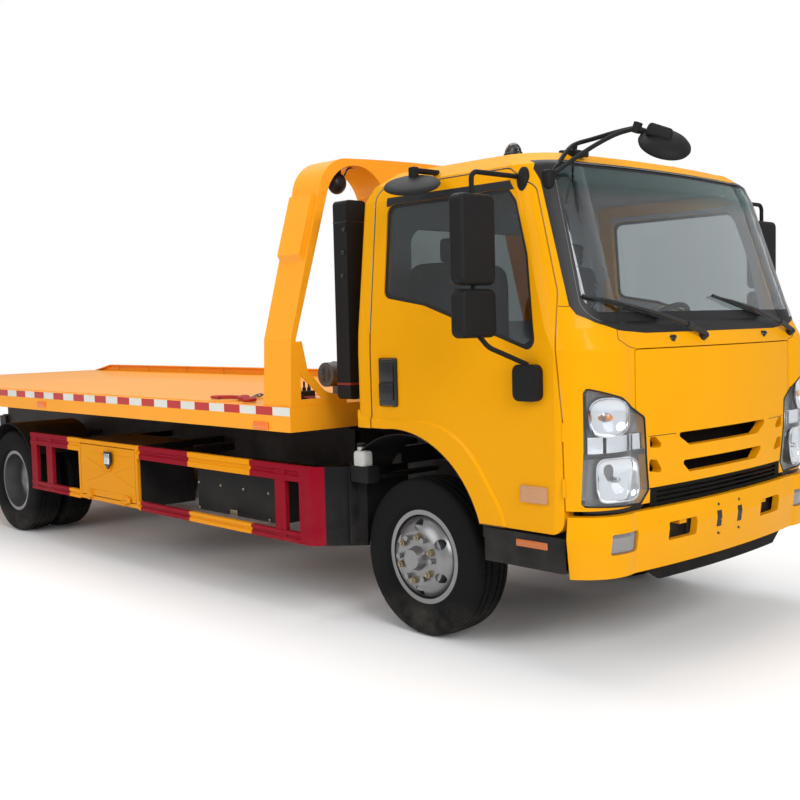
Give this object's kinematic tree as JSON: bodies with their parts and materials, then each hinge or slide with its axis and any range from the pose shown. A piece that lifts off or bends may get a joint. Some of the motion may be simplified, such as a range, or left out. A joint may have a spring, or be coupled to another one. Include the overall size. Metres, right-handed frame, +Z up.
{
  "type": "flatbed tow truck",
  "caption": "Cab-over flatbed recovery truck with a sliding and tilting deck, an arch behind the cab, a winch, side guards and toolboxes.",
  "frame": {"origin": "on the ground at the middle of the truck's length, on its centre plane", "axes": "+X forward, +Y to the truck's left, +Z up"},
  "size_m": [8.9304, 2.7, 2.4947],
  "materials": {
    "cab_paint": "gloss golden yellow",
    "deck_paint": "gloss orange yellow",
    "guard_paint": "gloss crimson with yellow fields",
    "chassis_paint": "satin black",
    "black_plastic": "fine grain",
    "grey_plastic": "fine grain",
    "tyre": "matt",
    "rim_paint": "silver paint",
    "steel": "dull",
    "cylinder": "satin black",
    "chrome": "polished",
    "cast": "raw",
    "glass": "clear, faint green",
    "lens": "clear",
    "red_lens": "red and amber lens",
    "aluminium": "brushed",
    "fabric": "woven grey"
  },
  "bodies": {
    "chassis": {"chassis_frame": "chassis_paint", "subframe": "chassis_paint", "engine_block": "cast", "drive_line": "cast", "radiator": "black_plastic", "front_axle": "cast", "rear_axle": "cast", "fuel_tank": "aluminium", "battery_box": "black_plastic", "silencer": "steel", "side_guards": "guard_paint", "toolbox_right": "deck_paint", "toolbox_left": "deck_paint", "cab_shell": "cab_paint", "front_panel": "cab_paint", "lower_grille": "black_plastic", "headlamps": "lens", "front_bumper": "cab_paint", "fog_lamps": "lens", "windscreen": "glass", "rear_window": "glass", "seats": "fabric", "dashboard": "grey_plastic", "steering_wheel": "black_plastic", "look_down_mirror": "black_plastic", "wipers": "black_plastic", "air_duct": "black_plastic", "steps": "black_plastic", "front_mudguards": "black_plastic", "rear_mudguards": "black_plastic", "rear_lamp_bar": "chassis_paint", "tail_lamps": "red_lens"},
    "knuckle_right": {"knuckle_right": "cast"},
    "knuckle_left": {"knuckle_left": "cast"},
    "wheel_front_right": {"rim_front_right": "rim_paint", "tyre_front_right": "tyre"},
    "wheel_front_left": {"rim_front_left": "rim_paint", "tyre_front_left": "tyre"},
    "wheels_rear_right": {"rims_rear_right": "rim_paint", "tyres_rear_right": "tyre"},
    "wheels_rear_left": {"rims_rear_left": "rim_paint", "tyres_rear_left": "tyre"},
    "door_right": {"door_right": "cab_paint", "door_glass_right": "glass", "mirrors_right": "black_plastic", "kerb_mirror": "black_plastic"},
    "door_left": {"door_left": "cab_paint", "door_glass_left": "glass", "mirrors_left": "black_plastic"},
    "toolbox_door_right": {"toolbox_door_right": "deck_paint"},
    "toolbox_door_left": {"toolbox_door_left": "deck_paint"},
    "tilt_frame": {"tilt_frame": "deck_paint", "slide_barrel": "cylinder"},
    "deck": {"deck": "deck_paint", "deck_curb": "deck_paint", "arch": "deck_paint", "winch": "steel", "slide_rod": "chrome"},
    "tilt_barrels": {"tilt_barrels": "cylinder"},
    "tilt_rods": {"tilt_rods": "chrome"}
  },
  "joints": [
    {"name": "steer_right", "type": "hinge", "parent": "chassis", "child": "knuckle_right", "pos_m": [3.1825, -0.735, 0.398], "axis": [0, 0, 1], "range_deg": [-35, 35]},
    {"name": "steer_left", "type": "hinge", "parent": "chassis", "child": "knuckle_left", "pos_m": [3.1825, 0.735, 0.398], "axis": [0, 0, 1], "range_deg": [-35, 35]},
    {"name": "roll_front_right", "type": "hinge", "parent": "knuckle_right", "child": "wheel_front_right", "pos_m": [3.1825, -0.8325, 0.398], "axis": [0, 1, 0], "continuous": true},
    {"name": "roll_front_left", "type": "hinge", "parent": "knuckle_left", "child": "wheel_front_left", "pos_m": [3.1825, 0.8325, 0.398], "axis": [0, 1, 0], "continuous": true},
    {"name": "roll_rear_right", "type": "hinge", "parent": "chassis", "child": "wheels_rear_right", "pos_m": [-1.2925, -0.797, 0.398], "axis": [0, 1, 0], "continuous": true},
    {"name": "roll_rear_left", "type": "hinge", "parent": "chassis", "child": "wheels_rear_left", "pos_m": [-1.2925, 0.797, 0.398], "axis": [0, 1, 0], "continuous": true},
    {"name": "door_right_swing", "type": "hinge", "parent": "chassis", "child": "door_right", "pos_m": [4.127, -1.005, 1.1], "axis": [0, 0, 1], "range_deg": [0, 70]},
    {"name": "door_left_swing", "type": "hinge", "parent": "chassis", "child": "door_left", "pos_m": [4.127, 1.005, 1.1], "axis": [0, 0, -1], "range_deg": [0, 70]},
    {"name": "toolbox_right_flap", "type": "hinge", "parent": "chassis", "child": "toolbox_door_right", "pos_m": [0.3425, -1.119, 0.426], "axis": [1, 0, 0], "range_deg": [0, 100]},
    {"name": "toolbox_left_flap", "type": "hinge", "parent": "chassis", "child": "toolbox_door_left", "pos_m": [0.3425, 1.119, 0.426], "axis": [-1, 0, 0], "range_deg": [0, 100]},
    {"name": "deck_tilt", "type": "hinge", "parent": "chassis", "child": "tilt_frame", "pos_m": [-2.7675, 0, 0.868], "axis": [0, -1, 0], "range_deg": [0, 11.5]},
    {"name": "deck_slide", "type": "slide", "parent": "tilt_frame", "child": "deck", "axis": [-1, 0, 0], "range_m": [0, 3.3]},
    {"name": "barrels_swing", "type": "hinge", "parent": "chassis", "child": "tilt_barrels", "pos_m": [-0.7175, 0, 0.64], "axis": [0, -1, 0], "range_deg": [0, 28.85]},
    {"name": "rods_extend", "type": "slide", "parent": "tilt_barrels", "child": "tilt_rods", "axis": [0.9824, 0, 0.187], "range_m": [0, 0.2189]}
  ],
  "couplings": [
    {"joint": "steer_left", "follows": "steer_right", "ratio": 1},
    {"joint": "barrels_swing", "follows": "deck_tilt", "ratio": 2.5081},
    {"joint": "rods_extend", "follows": "deck_tilt", "m_per_rad": 1.0898}
  ]
}
